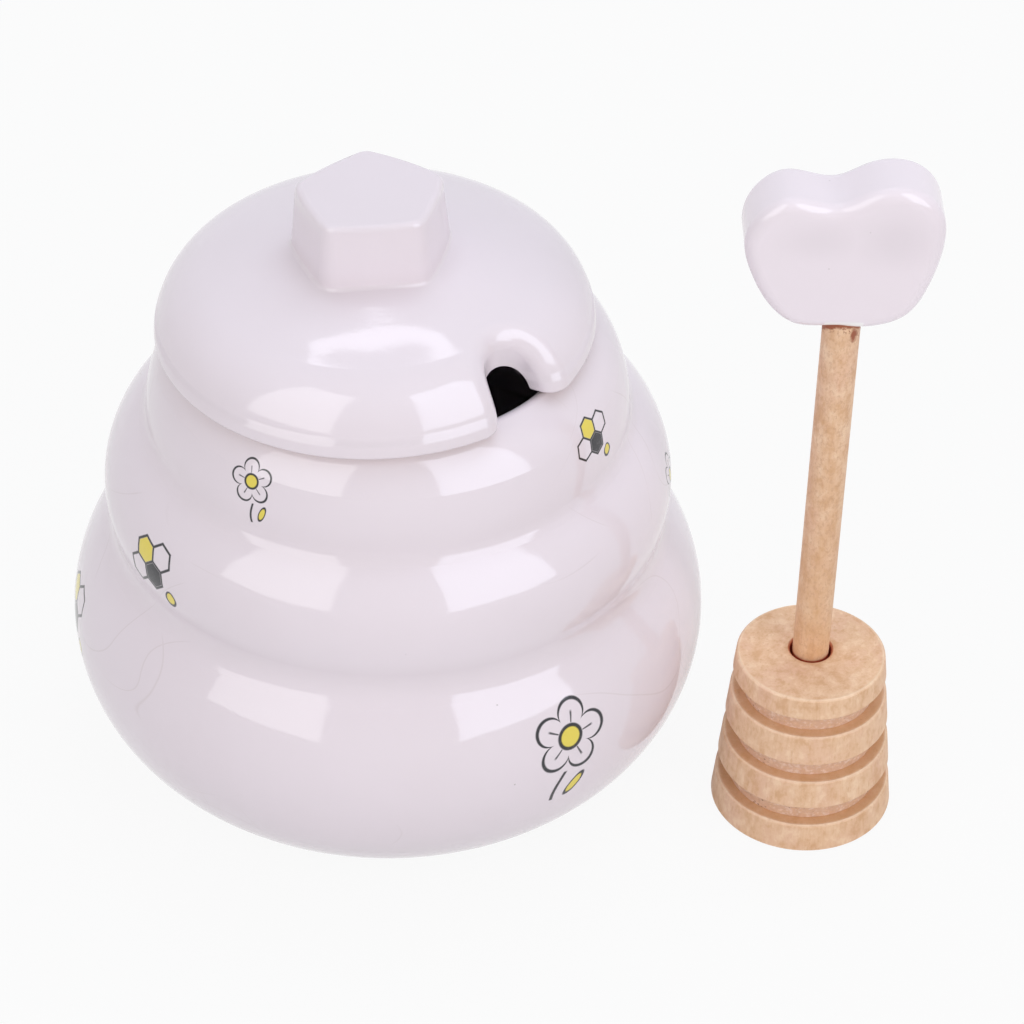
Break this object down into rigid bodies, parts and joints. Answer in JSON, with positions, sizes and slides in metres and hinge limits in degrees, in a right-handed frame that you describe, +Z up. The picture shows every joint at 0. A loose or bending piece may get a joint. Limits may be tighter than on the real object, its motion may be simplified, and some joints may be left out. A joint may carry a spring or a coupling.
{
  "type": "honey pot with lift-off lid and dipper",
  "caption": "Glazed honey pot shaped as a stack of bulging rings, with a loose notched lid under an angular knob and a wooden honey dipper with a heart-shaped glazed handle.",
  "frame": {"origin": "centre of the pot's foot, on the plane it stands on", "axes": "+Z up along the pot's axis, the dipper stands beside the pot toward +X, the front of the pot faces -Y"},
  "size_m": [0.143, 0.11, 0.132],
  "materials": {
    "pot_glaze": "glossy white glaze with small decals",
    "lid_glaze": "glossy white glaze",
    "handle_glaze": "glossy white glaze",
    "stick_wood": "bare turned beech",
    "head_wood": "bare turned beech"
  },
  "bodies": {
    "pot": {"pot_body": "pot_glaze"},
    "lid": {"lid": "lid_glaze"},
    "dipper": {"dipper_handle": "handle_glaze", "dipper_stick": "stick_wood", "dipper_head": "head_wood"}
  },
  "joints": [
    {"name": "lid_lift", "type": "slide", "parent": "pot", "child": "lid", "axis": [0, 0, 1], "range_m": [0, 0.15]},
    {"name": "dipper_lift", "type": "slide", "parent": "pot", "child": "dipper", "axis": [0, 0, 1], "range_m": [0, 0.15]}
  ]
}
